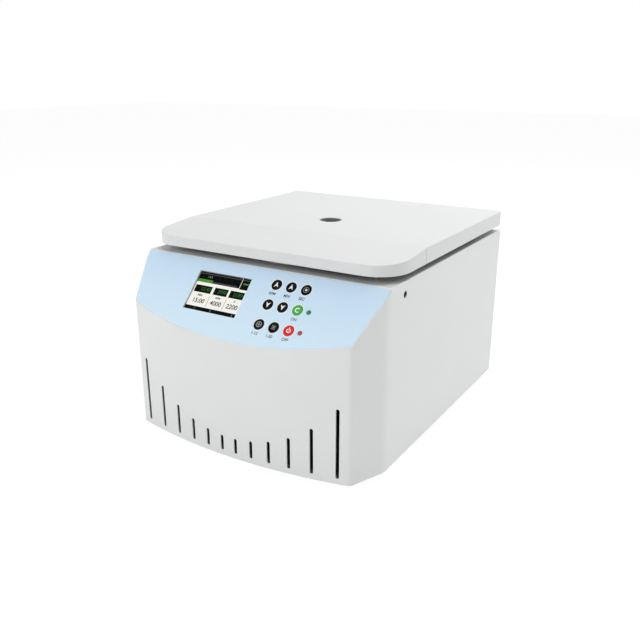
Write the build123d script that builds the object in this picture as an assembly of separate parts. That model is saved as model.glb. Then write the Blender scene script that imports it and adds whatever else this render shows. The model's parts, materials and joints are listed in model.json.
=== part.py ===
"""Low-speed benchtop centrifuge with a front-sloping control panel and a rear-hinged lid, in millimetres.

The row frame has +Z up, the front towards -Y, and its origin under the middle of the object, on the table.
"""

from build123d import *
import math
import os

# Housing
housing_width = 370.0
box_depth = 376.0  # from the top edge of the sloping panel to the back
front_reach = 75.7  # how far the bowed front stands ahead of that edge
rear_reach = 3.0  # how far sockets and screw heads stand behind the back
foot_height = 8.5
skirt_drop = 0.5  # the housing ends this far below the top of its feet
housing_height = 233.0
sheet = 1.5  # steel sheet of the housing, rear panel and lid
flange_width = 12.0
fit_gap = 0.2  # round fixed pieces that drop into a cut-out
panel_drop = 55.0  # fall of the sloping panel for this run
panel_run = 54.0
taper_start = 7.0  # the sides start to turn in this far ahead of the panel's top edge
corner_inset = 19.5  # front corners, in from the sides
corner_reach = 56.0
taper_radius = 30.0
corner_radius = 8.0
edge_radius = 1.2  # folded edges of the housing

# Film, display, keys and lights; x and distance down the slope from the panel's top edge
overlay_thickness = 0.6
overlay_margin = 1.2
display_x = -42.8
display_down = 47.2
display_width = 82.4
display_height = 55.6
display_frame = 6.0
key_columns = (36.7, 58.0, 79.4)
key_rows = (21.0, 48.8, 76.3)
light_x = 95.0
key_diameter = 14.0
key_rise = 1.1
key_foot_rim = 1.2  # how far a key's foot reaches under the steel
key_foot_height = 0.9
key_play = 0.3
key_rest_gap = 0.1
key_travel = 0.5
light_diameter = 6.0
light_rise = 1.0
board_depth = 9.0  # from the steel's outer face to the control board
board_thickness = 1.6
board_margin = 14.0
board_rows = (12.0, 86.0)
spacer_radius = 2.75

# Front air slots, mirrored about the middle; their tops follow an arc
slot_count = 6
slot_first_x = 10.6
slot_pitch = 23.4
slot_pitch_growth = 2.2
slot_width = 4.6
slot_foot = 7.2
slot_arc_radius = 194.6
slot_arc_height = 222.6

# Rotor chamber
rotor_back = 174.0  # rotor axis behind the panel's top edge
bowl_radius = 140.0
bowl_sheet = 1.0
bowl_depth = 130.0
bowl_corner = 18.0
bowl_flange = 7.0
bowl_hole = 24.0
guard_gap = 4.0
guard_sheet = 3.0
guard_height = 119.5
gasket_margin = 1.0
gasket_width = 8.0
gasket_crown = 2.5
touch_gap = 0.3  # between the gasket and the closed lid

# Lid
lid_overhang = 2.0
lid_back_inset = 6.0  # the lid ends this far ahead of the back
lid_gap = 9.0  # between the housing's top and the lid's lower edge
lid_height = 21.0
lid_seam = 88.5  # depth of the moulded front part
lid_seam_gap = 0.12
seam_groove_width = 1.0  # shadow groove down both sides of the seam
seam_groove_depth = 0.8
lid_front_drop = 7.6
lid_front_wall = 2.5
lid_corner = 42.0
lid_back_corner = 6.0
lid_edge = 1.2
liner_thickness = 1.5
liner_rise = 0.3  # the liner sits this far above the lid's lower edge
sight_radius = 16.0
sight_step = 13.4
sight_bore = 11.0
sight_glass_thickness = 3.0
sight_recess = 0.6

# Lid hinges
hinge_inset = 4.5  # axis ahead of the lid's back edge
hinge_rise = 5.0  # axis above the housing's top
hinge_x = 120.0
hinge_length = 50.0
knuckle_radius = 4.0
knuckle_length = 17.0
knuckle_gap = 0.5
hinge_pin_radius = 2.0
pin_clearance = 0.05
leaf_reach = 30.0
leaf_thickness = 2.0

# Lid lock behind the release hole in the right side
lock_back = 35.7
lock_drop = 16.2  # bolt axis below the housing's top
release_radius = 4.5
tongue_inset = 33.5  # middle of the tongue inside the housing's side wall
tongue_thickness = 3.0
tongue_width = 16.0
tongue_window = (9.0, 8.0)
tongue_below_bolt = 10.8
tongue_tab = 12.0
tongue_slot_gap = (3.5, 2.5)  # ahead of and behind the tongue, for its swing
tongue_side_gap = 1.5
bolt_radius = 3.0
bolt_travel = 12.0
bolt_rest_gap = 6.0  # the drawn-back nose stands this far short of the tongue's middle
bolt_bare = 26.0  # bolt that shows ahead of the solenoid
solenoid_length = 32.0
solenoid_side = 22.0
plunger_radius = 4.0
collar_radius = 6.0
bracket_sheet = 2.0

# Base, motor and shaft
base_thickness = 2.0
base_slot_pitch = 12.0
base_slot_size = (4.0, 50.0)
foot_radius = 15.0
foot_flare = 2.5
foot_inset = 45.0
foot_hollow_radius = 4.0
foot_hollow_height = 3.0
foot_front_back = -15.0
foot_rear_inset = 40.0
motor_radius = 52.0
motor_wall = 4.0
motor_length = 54.0
motor_cap_thickness = 5.0
motor_neck_radius = 24.0
motor_neck_height = 6.0
motor_plate_rise = 23.5
motor_plate_thickness = 4.0
motor_plate_radius = 78.0
shaft_radius = 8.0
bearing_radius = 17.5
bearing_width = 10.0
running_gap = 0.05
air_gap = 1.0
stator_inner = 30.0
stator_slots = 12
winding_gap = 8.0
damper_radius = 11.0
damper_circle = 64.0
stud_radius = 3.0
boot_outer = 31.0
boot_inner = 23.0

# Swing-out rotor
bucket_count = 4
pivot_radius = 50.0
bucket_radius = 25.0
bucket_wall = 2.0
bucket_swing_gap = 15.0  # a bucket that hangs out level stays this far inside the bowl
bucket_above = 11.0
bucket_floor_gap = 8.0
bucket_rim = 1.0
bucket_rim_height = 5.0
bucket_foot_radius = 5.0
ear_radius = 8.0
ear_face = 33.0
arm_face = 35.0
arm_block = 22.0
arm_width = 9.0
arm_height = 16.0
hub_radius = 17.0
hub_height = 30.0
taper_drop = 2.0  # the shaft's seat narrows by this
trunnion_radius = 4.0
trunnion_gap = 0.06
thread_radius = 5.0
nut_radius = 14.0
nut_height = 12.0
nut_grips = 12

# Drive board, heat sink and transformer on the base
drive_inset = 15.5
drive_size = (72.0, 180.0)
drive_ahead = 95.0  # from the rotor's axis to the board's front edge
drive_rise = 8.0
drive_post_radius = 3.0
drive_post_inset = 6.0
capacitor_radius = 11.0
capacitor_height = 32.0
capacitor_pitch = 26.0
terminal_size = (7.0, 10.0, 11.0)
terminal_pitch = 9.0
sink_size = (28.0, 80.0, 30.0)
sink_base = 5.0
sink_fin = 2.0
sink_fins = 6
transformer_core = (50.0, 34.0, 48.0)
transformer_bobbin = (30.0, 54.0, 28.0)
transformer_feet = (66.0, 16.0, 2.0)
transformer_back = 20.0  # behind the rotor's axis
transformer_round = 8.0

# Rear sockets
socket_rise = 47.5  # above the housing's lower edge
inlet_inset = 53.5  # inside the housing's side wall
switch_spacing = 60.0
fuse_spacing = 42.0
flange_proud = 2.0
inlet_flange = (50.0, 26.0)
inlet_body = (28.0, 20.0, 24.0)
inlet_wall = 1.8
inlet_cavity_depth = 18.0
pin_blade = (2.0, 4.0, 13.0)
switch_flange = (24.0, 30.0)
switch_body = (19.0, 25.0, 20.0)
switch_pocket = (13.0, 22.0, 11.0)
rocker_size = (12.4, 7.2, 19.0)
rocker_pivot_depth = 2.2
rocker_tilt = 8.0
rocker_pin_radius = 1.2
fuse_radius = 6.0
screw_head_radius = 3.2
screw_head_height = 1.6
screw_shank_radius = 1.5
screw_length = 7.0
base_screw_front = 20.0  # from the panel's lower edge to the first base screw
base_screw_rear = 30.0
rear_slot_count = 12
rear_slot_pitch = 12.0
rear_slot_height = 45.0
rear_slot_inset = 43.5
rear_slot_rows = (81.5, 141.5)

total_depth = front_reach + box_depth + rear_reach
panel_y = front_reach - total_depth / 2
back_y = panel_y + box_depth
base_z = foot_height
base_top_z = base_z + base_thickness
shell_bottom_z = foot_height - skirt_drop
deck_z = shell_bottom_z + housing_height
corner_half_x = housing_width / 2 - corner_inset
inner_half_x = housing_width / 2 - sheet
slope_angle = math.degrees(math.atan2(panel_drop, panel_run))
slope_sin = math.sin(math.radians(slope_angle))
slope_cos = math.cos(math.radians(slope_angle))
panel_plane = Plane(origin=(0, panel_y, deck_z), x_dir=(1, 0, 0), z_dir=(0, -slope_sin, slope_cos))
rotor_y = panel_y + rotor_back
bucket_below = bowl_radius - pivot_radius - bucket_swing_gap
bowl_floor_z = deck_z + bowl_sheet - bowl_depth
pivot_z = bowl_floor_z + bowl_sheet + bucket_floor_gap + bucket_below
guard_radius = bowl_radius + bowl_sheet + guard_gap
lid_bottom_z = deck_z + lid_gap
lid_top_z = lid_bottom_z + lid_height
lid_back_y = back_y - lid_back_inset
liner_z = lid_bottom_z + liner_rise
liner_top_z = liner_z + liner_thickness
hinge_y = lid_back_y - hinge_inset
hinge_z = deck_z + hinge_rise
lock_y = panel_y + lock_back
lock_z = deck_z - lock_drop
motor_plate_z = base_top_z + motor_plate_rise
motor_bottom_z = motor_plate_z + motor_plate_thickness
motor_top_z = motor_bottom_z + motor_length
neck_top_z = motor_top_z + motor_cap_thickness + motor_neck_height
shaft_bottom_z = motor_plate_z - bearing_width / 2
socket_z = shell_bottom_z + socket_rise
lid_width = housing_width + 2 * lid_overhang
foot_x = housing_width / 2 - foot_inset
tongue_x = inner_half_x - tongue_inset
bolt_nose_x = tongue_x - bolt_rest_gap
solenoid_end_x = bolt_nose_x - bolt_bare
inlet_x = inner_half_x - inlet_inset
switch_x = inlet_x - switch_spacing
fuse_x = switch_x - fuse_spacing
rear_slot_x = rear_slot_inset - inner_half_x
board_left = display_x - display_width / 2 - board_margin
board_right = light_x + board_margin
key_back = sheet + key_rest_gap + key_foot_height


def block(x0, x1, y0, y1, z0, z1):
    """A box from its two corners."""
    return Pos((x0 + x1) / 2, (y0 + y1) / 2, (z0 + z1) / 2) * Box(x1 - x0, y1 - y0, z1 - z0)


def post(radius, z0, z1, x=0.0, y=0.0):
    """An upright cylinder between two heights."""
    return Pos(x, y, (z0 + z1) / 2) * Cylinder(radius, z1 - z0)


def rod_x(radius, x0, x1, y, z):
    """A cylinder lying along X."""
    return Pos((x0 + x1) / 2, y, z) * Rot(0, 90, 0) * Cylinder(radius, x1 - x0)


def rod_y(radius, y0, y1, x, z):
    """A cylinder lying along Y."""
    return Pos(x, (y0 + y1) / 2, z) * Rot(90, 0, 0) * Cylinder(radius, y1 - y0)


def on_rotor(radius, z0, z1):
    """An upright cylinder on the rotor's axis."""
    return post(radius, z0, z1, 0, rotor_y)


def on_panel(x, down, shape):
    """Places a shape drawn about the XY plane on the sloping panel, +Z out of it."""
    return panel_plane * Pos(x, -down, 0) * shape


def disc(radius, low, high):
    """A disc between two heights over the XY plane."""
    return Pos(0, 0, (low + high) / 2) * Cylinder(radius, high - low)


def plate(width, height, low, high):
    """A plate between two heights over the XY plane."""
    return Pos(0, 0, (low + high) / 2) * Box(width, height, high - low)


def joined(shapes):
    """Separate solids kept side by side in one node."""
    return Compound(children=[solid for shape in shapes for solid in shape.solids()])


def slot_cut(x, z0, z1, y0, y1, width):
    """An upright slot with round ends, cut along Y."""
    radius = width / 2
    middle = block(x - radius, x + radius, y0, y1, z0 + radius, z1 - radius)
    return middle + rod_y(radius, y0, y1, x, z0 + radius) + rod_y(radius, y0, y1, x, z1 - radius)


def housing_outline(inset):
    """The housing seen from above, drawn in by inset: straight sides, turned-in corners, bowed front."""
    half = housing_width / 2
    shoulder_y = panel_y - taper_start
    right = (corner_half_x, panel_y - corner_reach)
    left = (-corner_half_x, panel_y - corner_reach)
    edges = [
        Line((half, back_y), (half, shoulder_y)),
        Line((half, shoulder_y), right),
        ThreePointArc(right, (0, panel_y - front_reach), left),
        Line(left, (-half, shoulder_y)),
        Line((-half, shoulder_y), (-half, back_y)),
        Line((-half, back_y), (half, back_y)),
    ]
    face = make_face(Curve() + edges)
    face = fillet([v for v in face.vertices() if abs(v.Y - shoulder_y) < 1e-3], taper_radius)
    face = fillet([v for v in face.vertices() if abs(abs(v.X) - corner_half_x) < 1e-3], corner_radius)
    return offset(face, -inset, kind=Kind.INTERSECTION) if inset else face


def housing_block(inset, bottom, top):
    """The housing's volume, drawn in by inset, with everything over the sloping panel cut off."""
    body = Pos(0, 0, bottom) * extrude(housing_outline(inset), top - bottom)
    reach = 2 * housing_width
    return body - panel_plane * Pos(0, 0, reach / 2 - inset) * Box(reach, reach, reach)


def key_places():
    """Name, x and distance down the slope of each key."""
    names = (
        ("key_speed_up", "key_time_up", "key_pulse"),
        ("key_speed_down", "key_time_down", "key_start"),
        ("key_rotor", "key_program", "key_stop"),
    )
    rows = range(len(key_rows))
    columns = range(len(key_columns))
    return [(names[r][c], key_columns[c], key_rows[r]) for r in rows for c in columns]


def light_places():
    """Name, x and distance down the slope of the lights beside the start and stop keys."""
    return [("run_light", light_x, key_rows[1]), ("stop_light", light_x, key_rows[2])]


def slot_places():
    """X and height of the top of each front air slot right of the middle."""
    places = []
    x = slot_first_x
    for step in range(slot_count):
        places.append((x, shell_bottom_z + slot_arc_height - math.sqrt(slot_arc_radius**2 - x**2)))
        x += slot_pitch + step * slot_pitch_growth
    return places


def rear_screw_places():
    """X and Z of the rear panel's screws."""
    side = inner_half_x - flange_width / 2
    low = base_top_z + sheet + flange_width / 2
    high = deck_z - sheet - flange_width / 2
    sides = [(sx * side, z) for sx in (-1, 1) for z in (low, (low + high) / 2, high)]
    return sides + [(0, low), (0, high)]


def base_screw_places():
    """X and Y of the screws up through the base plate."""
    side = inner_half_x - flange_width / 2
    rows = (panel_y + base_screw_front, rotor_y, back_y - base_screw_rear)
    return [(sx * side, y) for sx in (-1, 1) for y in rows]


def inlet_screw_x():
    """X of the two screws of the inlet's flange."""
    return [inlet_x + side * (inlet_flange[0] / 2 - 5) for side in (-1, 1)]


def panel_openings():
    """Cuts for display, keys and lights, through everything near the sloping panel's face."""
    deep = 3 * sheet
    gap = 2 * fit_gap
    cuts = on_panel(
        display_x, display_down, plate(display_width + gap, display_height + gap, -deep, deep)
    )
    for _, x, down in key_places():
        cuts += on_panel(x, down, disc(key_diameter / 2 + key_play, -deep, deep))
    for _, x, down in light_places():
        cuts += on_panel(x, down, disc(light_diameter / 2 + fit_gap, -deep, deep))
    return cuts


def tongue_slot():
    """The cut in the housing's top that the lid's tongue drops through."""
    half = tongue_thickness / 2 + tongue_side_gap
    front = lock_y - tongue_width / 2 - tongue_slot_gap[0]
    back = lock_y + tongue_width / 2 + tongue_slot_gap[1]
    return block(tongue_x - half, tongue_x + half, front, back, deck_z - 2 * sheet, deck_z + sheet)


def housing_shell():
    """Folded steel housing: front, sides and top in one piece, open at the back and below."""
    outer = housing_block(0, shell_bottom_z, deck_z)
    fold_z = deck_z - front_reach * panel_drop / panel_run - 5
    folds = [
        edge
        for edge in outer.edges()
        if edge.center().Z > fold_z and abs(edge.tangent_at(0.5).Z) < 0.95 and edge.center().Y < back_y - 1
    ]
    outer = fillet(folds, edge_radius)
    inner = housing_block(sheet, shell_bottom_z - 1, deck_z - sheet)
    inner += block(-inner_half_x, inner_half_x, rotor_y, back_y + 1, shell_bottom_z - 1, deck_z - sheet)
    shell = outer - inner
    half = inner_half_x + sheet / 2
    hole = inner_half_x - flange_width
    rim = housing_block(sheet / 2, base_top_z, base_top_z + sheet)
    rim -= housing_block(sheet + flange_width, base_top_z - 1, base_top_z + 2 * sheet)
    rim -= block(-half, half, back_y - 2 * sheet, back_y + 1, base_top_z - 1, base_top_z + 2 * sheet)
    frame_front = back_y - 2 * sheet
    frame = block(-half, half, frame_front, frame_front + sheet, base_top_z, deck_z - sheet / 2)
    frame -= block(
        -hole, hole, frame_front - 1, back_y, base_top_z + sheet + flange_width, deck_z - sheet - flange_width
    )
    shell = shell + rim + frame
    shell -= on_rotor(bowl_radius + bowl_sheet + fit_gap, deck_z - 2 * sheet, deck_z + sheet)
    shell -= rod_x(release_radius, inner_half_x - sheet, inner_half_x + 2 * sheet, lock_y, lock_z)
    for x, top in slot_places():
        for side in (-1, 1):
            shell -= slot_cut(
                side * x,
                shell_bottom_z + slot_foot,
                top,
                panel_y - front_reach - 5,
                panel_y - corner_reach + 8,
                slot_width,
            )
    shell -= tongue_slot() + panel_openings()
    for x, y in base_screw_places():
        shell -= post(screw_shank_radius, base_top_z - 1, base_top_z + 2 * sheet, x, y)
    for x, z in rear_screw_places():
        shell -= rod_y(screw_shank_radius, frame_front - 1, back_y, x, z)
    return shell


def rear_panel():
    """Flat steel back with air slots and the sockets' cut-outs."""
    half = inner_half_x - fit_gap
    panel = block(-half, half, back_y - sheet, back_y, base_z, deck_z - sheet - fit_gap)
    through = (back_y - 2 * sheet, back_y + sheet)
    for row in rear_slot_rows:
        for step in range(rear_slot_count):
            x = rear_slot_x + step * rear_slot_pitch
            low = shell_bottom_z + row
            panel -= slot_cut(x, low, low + rear_slot_height, *through, slot_width)
    for x, size in ((inlet_x, inlet_body), (switch_x, switch_body)):
        wide, high = size[0] / 2 + fit_gap, size[1] / 2 + fit_gap
        panel -= block(x - wide, x + wide, *through, socket_z - high, socket_z + high)
    panel -= rod_y(fuse_radius + fit_gap, *through, fuse_x, socket_z)
    for x, z in rear_screw_places():
        panel -= rod_y(screw_shank_radius, *through, x, z)
    for x in inlet_screw_x():
        panel -= rod_y(screw_shank_radius, *through, x, socket_z)
    return panel


def cross_cut(x, z, face):
    """The cross recess in a screw head that faces backwards."""
    arm, half, deep = 0.6 * screw_head_radius, 0.4, 0.9
    flat = block(x - arm, x + arm, face - deep, face + 1, z - half, z + half)
    return flat + block(x - half, x + half, face - deep, face + 1, z - arm, z + arm)


def housing_screws():
    """Pan-head screws of the rear panel, of the inlet's flange and of the base plate."""
    shank = screw_shank_radius - pin_clearance
    screws = []
    for x, z in rear_screw_places():
        top = back_y + screw_head_height
        screw = rod_y(screw_head_radius, back_y, top, x, z)
        screw += rod_y(shank, back_y - screw_length, back_y, x, z)
        screws.append(screw - cross_cut(x, z, top))
    for x in inlet_screw_x():
        face = back_y + flange_proud
        head = rod_y(0.75 * screw_head_radius, face, back_y + rear_reach, x, socket_z)
        screws.append(head + rod_y(shank, back_y - screw_length, face, x, socket_z))
    for x, y in base_screw_places():
        head = post(screw_head_radius, base_z - screw_head_height, base_z, x, y)
        screws.append(head + post(shank, base_z, base_z + screw_length, x, y))
    return joined(screws)


def base_plate():
    """Steel floor that everything inside stands on, with air slots under the motor."""
    floor = housing_block(sheet + fit_gap, base_z, base_top_z)
    floor -= block(
        -housing_width, housing_width, back_y - sheet - fit_gap, back_y + 9, base_z - 1, base_top_z + 1
    )
    for x, y in base_screw_places():
        floor -= post(screw_shank_radius, base_z - 1, base_top_z + 1, x, y)
    wide, long = base_slot_size[0] / 2, base_slot_size[1] / 2
    for step in range(-3, 4):
        x = step * base_slot_pitch
        floor -= block(x - wide, x + wide, rotor_y - long, rotor_y + long, base_z - 1, base_top_z + 1)
    return floor


def foot_places():
    """X and Y of the four feet."""
    rows = (panel_y + foot_front_back, back_y - foot_rear_inset)
    return [(sx * foot_x, y) for sx in (-1, 1) for y in rows]


def rubber_feet():
    """Four round rubber feet, wider where they meet the table, with a hollow for their screw."""
    feet = []
    for x, y in foot_places():
        foot = Pos(x, y, foot_height / 2) * Cone(foot_radius, foot_radius - foot_flare, foot_height)
        feet.append(foot - post(foot_hollow_radius, -1, foot_hollow_height, x, y))
    return joined(feet)


def panel_overlay():
    """Blue printed film over the sloping panel."""
    reach = 2 * housing_width
    slab = panel_plane * Pos(0, 0, overlay_thickness / 2) * Box(reach, reach, overlay_thickness)
    top = deck_z - overlay_margin
    film = slab & (Pos(0, 0, 1) * extrude(housing_outline(overlay_margin), top - 1))
    return film - panel_openings()


def display_glass():
    """Clear front of the display, flush with the film."""
    return on_panel(
        display_x,
        display_down,
        plate(display_width, display_height, -sheet - key_rest_gap, overlay_thickness),
    )


def display_module():
    """Display panel in its metal frame, between the glass and the board."""
    top = -sheet - key_rest_gap
    wide, high = display_width + 2 * display_frame, display_height + 2 * display_frame - 2
    body = plate(wide, high, -board_depth, top)
    window = plate(display_width + 1, display_height + 1, top - 1, top + 1)
    return on_panel(display_x, display_down, body - window)


def key_cap():
    """One round key: a disc through the steel with a wider foot behind it."""
    cap = disc(key_diameter / 2, -key_back, key_rise)
    cap = fillet(cap.edges().sort_by(Axis.Z)[-1], 0.35)
    return cap + disc(key_diameter / 2 + key_foot_rim, -key_back, key_foot_height - key_back)


def light_lens():
    """Round lens of an indicator light, standing on the board."""
    lens = disc(light_diameter / 2, -board_depth, light_rise)
    return fillet(lens.edges().sort_by(Axis.Z)[-1], 0.8)


def spacer_places():
    """X and distance down the slope of the board's four fixings."""
    return [(x, down) for x in (board_left + 4, board_right - 4) for down in board_rows]


def control_board():
    """Control board with one push switch behind every key."""
    middle = (board_left + board_right) / 2
    high = board_rows[1] - board_rows[0] + 8
    down = (board_rows[0] + board_rows[1]) / 2
    low = -board_depth - board_thickness
    solids = [on_panel(middle, down, plate(board_right - board_left, high, low, -board_depth))]
    for _, x, down in key_places():
        switch = plate(6.0, 6.0, -board_depth, -board_depth + 3.5)
        switch += disc(1.75, -board_depth + 3.5, -key_back - key_travel - key_rest_gap)
        solids.append(on_panel(x, down, switch))
    return joined(solids)


def board_spacers():
    """Spacers that hang the control board from the back of the sloping panel."""
    post_shape = disc(spacer_radius, -board_depth, -sheet)
    return joined([on_panel(x, down, post_shape) for x, down in spacer_places()])


def chamber_bowl():
    """Spun stainless bowl with a rounded floor corner and a flange that lies on the housing's top."""
    outer = on_rotor(bowl_radius + bowl_sheet, bowl_floor_z, deck_z + bowl_sheet)
    outer = fillet(outer.edges().sort_by(Axis.Z)[0], bowl_corner + bowl_sheet)
    inner = on_rotor(bowl_radius, bowl_floor_z + bowl_sheet, deck_z + bowl_depth)
    inner = fillet(inner.edges().sort_by(Axis.Z)[0], bowl_corner)
    flange = on_rotor(bowl_radius + bowl_flange + bowl_sheet, deck_z, deck_z + bowl_sheet)
    bowl = outer + flange - inner
    return bowl - on_rotor(bowl_hole, bowl_floor_z - 1, bowl_floor_z + 2 * bowl_sheet)


def guard_ring():
    """Thick steel ring round the bowl, welded under the housing's top."""
    top = deck_z - sheet
    ring = on_rotor(guard_radius + guard_sheet, top - guard_height, top)
    return ring - on_rotor(guard_radius, top - guard_height - 1, top + 1)


def chamber_gasket():
    """Black rubber ring on the bowl's flange, with a rounded crown under the lid."""
    inner = bowl_radius + gasket_margin
    top = liner_z - touch_gap
    ring = on_rotor(inner + gasket_width, deck_z + bowl_sheet, top) - on_rotor(inner, deck_z, top + 1)
    return fillet(ring.edges().group_by(Axis.Z)[-1], gasket_crown)


def shaft_boot():
    """Rubber collar that closes the gap between the motor's neck and the bowl's floor."""
    collar = on_rotor(boot_outer, neck_top_z - motor_neck_height, bowl_floor_z)
    collar -= on_rotor(boot_inner, neck_top_z - 1, bowl_floor_z + 1)
    return collar - on_rotor(motor_neck_radius, neck_top_z - 2 * motor_neck_height, neck_top_z)


def motor_housing():
    """Cylindrical motor case, open at the top, that stands on the motor plate."""
    case = on_rotor(motor_radius, motor_bottom_z, motor_top_z)
    case += on_rotor(motor_neck_radius, shaft_bottom_z - motor_wall, motor_bottom_z)
    case -= on_rotor(motor_radius - motor_wall, motor_bottom_z + motor_wall, motor_top_z + 1)
    return case - on_rotor(bearing_radius, shaft_bottom_z - 1, motor_top_z)


def motor_cap():
    """Upper end of the motor, with the neck that holds the upper bearing."""
    cap = on_rotor(motor_radius, motor_top_z, motor_top_z + motor_cap_thickness)
    cap += on_rotor(motor_neck_radius, motor_top_z, neck_top_z)
    cap -= on_rotor(bearing_radius, motor_top_z - 1, neck_top_z - sheet)
    return cap - on_rotor(shaft_radius + 2, motor_top_z - 1, neck_top_z + 1)


def motor_stator():
    """Wound iron ring inside the motor case."""
    low, high = motor_bottom_z + motor_wall + winding_gap, motor_top_z - winding_gap
    ring = on_rotor(motor_radius - motor_wall, low, high) - on_rotor(stator_inner, low - 1, high + 1)
    for step in range(stator_slots):
        turn = Pos(0, rotor_y, (low + high) / 2) * Rot(0, 0, step * 360 / stator_slots)
        ring -= turn * Pos(stator_inner + 7, 0, 0) * Box(6, 5, high - low + 2)
    return ring


def bearing_floors():
    """Heights of the undersides of the two bearings."""
    return (shaft_bottom_z, neck_top_z - sheet - bearing_width)


def motor_bearings():
    """Two ball bearings that carry the shaft."""
    rings = []
    for low in bearing_floors():
        ring = on_rotor(bearing_radius, low, low + bearing_width)
        rings.append(ring - on_rotor(shaft_radius + running_gap, low - 1, low + bearing_width + 1))
    return joined(rings)


def damper_places():
    """X and Y of the four rubber mounts."""
    reach = damper_circle / math.sqrt(2)
    return [(sx * reach, rotor_y + sy * reach) for sx in (-1, 1) for sy in (-1, 1)]


def motor_plate():
    """Round steel plate that carries the motor on its rubber mounts."""
    round_plate = on_rotor(motor_plate_radius, motor_plate_z, motor_bottom_z)
    round_plate -= on_rotor(motor_neck_radius, motor_plate_z - 1, motor_bottom_z + 1)
    for x, y in damper_places():
        round_plate -= post(stud_radius, motor_plate_z - 1, motor_bottom_z + 1, x, y)
    return round_plate


def vibration_dampers():
    """Four waisted rubber mounts between base and motor plate, each with its stud and nut on top."""
    mounts = []
    for x, y in damper_places():
        rubber = post(damper_radius, base_top_z, motor_plate_z, x, y)
        rubber -= Pos(x, y, (base_top_z + motor_plate_z) / 2) * Torus(damper_radius + 1.5, 4.5)
        stud = post(stud_radius - pin_clearance, motor_plate_z, motor_bottom_z + 4.5, x, y)
        nut = Pos(x, y, motor_bottom_z) * extrude(RegularPolygon(5.5, 6), 4.0)
        mounts.append(rubber + stud + nut)
    return joined(mounts)


def seat_cone():
    """The tapered seat between shaft and rotor head."""
    return Pos(0, rotor_y, pivot_z) * Cone(shaft_radius, shaft_radius - taper_drop, hub_height)


def motor_shaft():
    """Shaft from the lower bearing up to the rotor's seat and thread."""
    seat_top = pivot_z + hub_height / 2
    shaft = on_rotor(shaft_radius, shaft_bottom_z + 1, pivot_z - hub_height / 2)
    return shaft + seat_cone() + on_rotor(thread_radius, seat_top, seat_top + nut_height - 3)


def motor_armature():
    """Magnet drum pressed on the shaft inside the stator."""
    low, high = motor_bottom_z + motor_wall + winding_gap, motor_top_z - winding_gap
    return on_rotor(stator_inner - air_gap, low, high) - on_rotor(shaft_radius, low - 1, high + 1)


def rotor_head():
    """Four-armed head with the pins that the buckets hang on."""
    head = on_rotor(hub_radius, pivot_z - hub_height / 2, pivot_z + hub_height / 2)
    reach = (arm_face + 5) * math.sqrt(2)
    middle = arm_face + arm_block / 2
    pin_length = arm_face - bucket_radius - bucket_rim
    pin_middle = arm_face - pin_length / 2
    for step in range(bucket_count):
        turn = Pos(0, rotor_y, pivot_z) * Rot(0, 0, 360 / bucket_count * step)
        arm = Rot(0, 0, 45) * Pos(reach / 2, 0, 0) * Box(reach, arm_width, arm_height)
        tip = Pos(middle, middle, 0) * Box(arm_block, arm_block, arm_height)
        tip = fillet(tip.edges().filter_by(Axis.Z), 5.0)
        pin = Cylinder(trunnion_radius, pin_length)
        side_pin = Pos(pivot_radius, pin_middle, 0) * Rot(90, 0, 0) * pin
        front_pin = Pos(pin_middle, pivot_radius, 0) * Rot(0, 90, 0) * pin
        head += turn * (arm + tip + side_pin + front_pin)
    return head - seat_cone()


def rotor_nut():
    """Hand nut that clamps the rotor head on the shaft."""
    low = pivot_z + hub_height / 2
    nut = fillet(on_rotor(nut_radius, low, low + nut_height).edges().sort_by(Axis.Z)[-1], 1.5)
    for step in range(nut_grips):
        angle = 2 * math.pi * step / nut_grips
        x, y = nut_radius * math.cos(angle), rotor_y + nut_radius * math.sin(angle)
        nut -= post(1.6, low - 1, low + nut_height + 1, x, y)
    return nut - on_rotor(thread_radius, low - 1, low + nut_height - 3)


def bucket(step):
    """One hanging cup with two hooked ears that sit over the rotor's pins."""
    cup = disc(bucket_radius, -bucket_below, bucket_above)
    cup = fillet(cup.edges().sort_by(Axis.Z)[0], bucket_foot_radius)
    cup += disc(bucket_radius + bucket_rim, bucket_above - bucket_rim_height, bucket_above)
    hollow = disc(bucket_radius - bucket_wall, bucket_wall - bucket_below, bucket_above + 1)
    hollow = fillet(hollow.edges().sort_by(Axis.Z)[0], bucket_foot_radius - 1)
    ear_length = ear_face - bucket_radius + bucket_wall
    bore = trunnion_radius + trunnion_gap
    notch_start = bucket_radius + bucket_rim - trunnion_gap
    notch_length = ear_face + 1 - notch_start
    for side in (-1, 1):
        ear = Pos(0, side * (ear_face - ear_length / 2), 0) * Rot(90, 0, 0)
        cup += ear * Cylinder(ear_radius, ear_length)
    for side in (-1, 1):
        notch = Pos(0, side * (notch_start + notch_length / 2), 0)
        cup -= notch * Rot(90, 0, 0) * Cylinder(bore, notch_length)
        cup -= notch * Pos(0, 0, -ear_radius) * Box(2 * bore, notch_length, 2 * ear_radius)
    place = Pos(0, rotor_y, pivot_z) * Rot(0, 0, 360 / bucket_count * step) * Pos(pivot_radius, 0, 0)
    return place * (cup - hollow)


def lid_outline(inset, front_y, rear_y, front_radius, rear_radius):
    """The lid seen from above between two depths, with rounded front and rear corners."""
    half = lid_width / 2 - inset
    sketch = Pos(0, (front_y + rear_y) / 2) * Rectangle(2 * half, rear_y - front_y)
    if front_radius:
        sketch = fillet(sketch.vertices().group_by(Axis.Y)[0], front_radius)
    if rear_radius:
        sketch = fillet(sketch.vertices().group_by(Axis.Y)[-1], rear_radius)
    return sketch


def liner_space(front_y, rear_y, wall):
    """The room for the liner under the walls that meet at the lid's seam."""
    half = lid_width / 2 - wall
    return block(-half, half, front_y, rear_y, lid_bottom_z - 1, liner_top_z + fit_gap)


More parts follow.
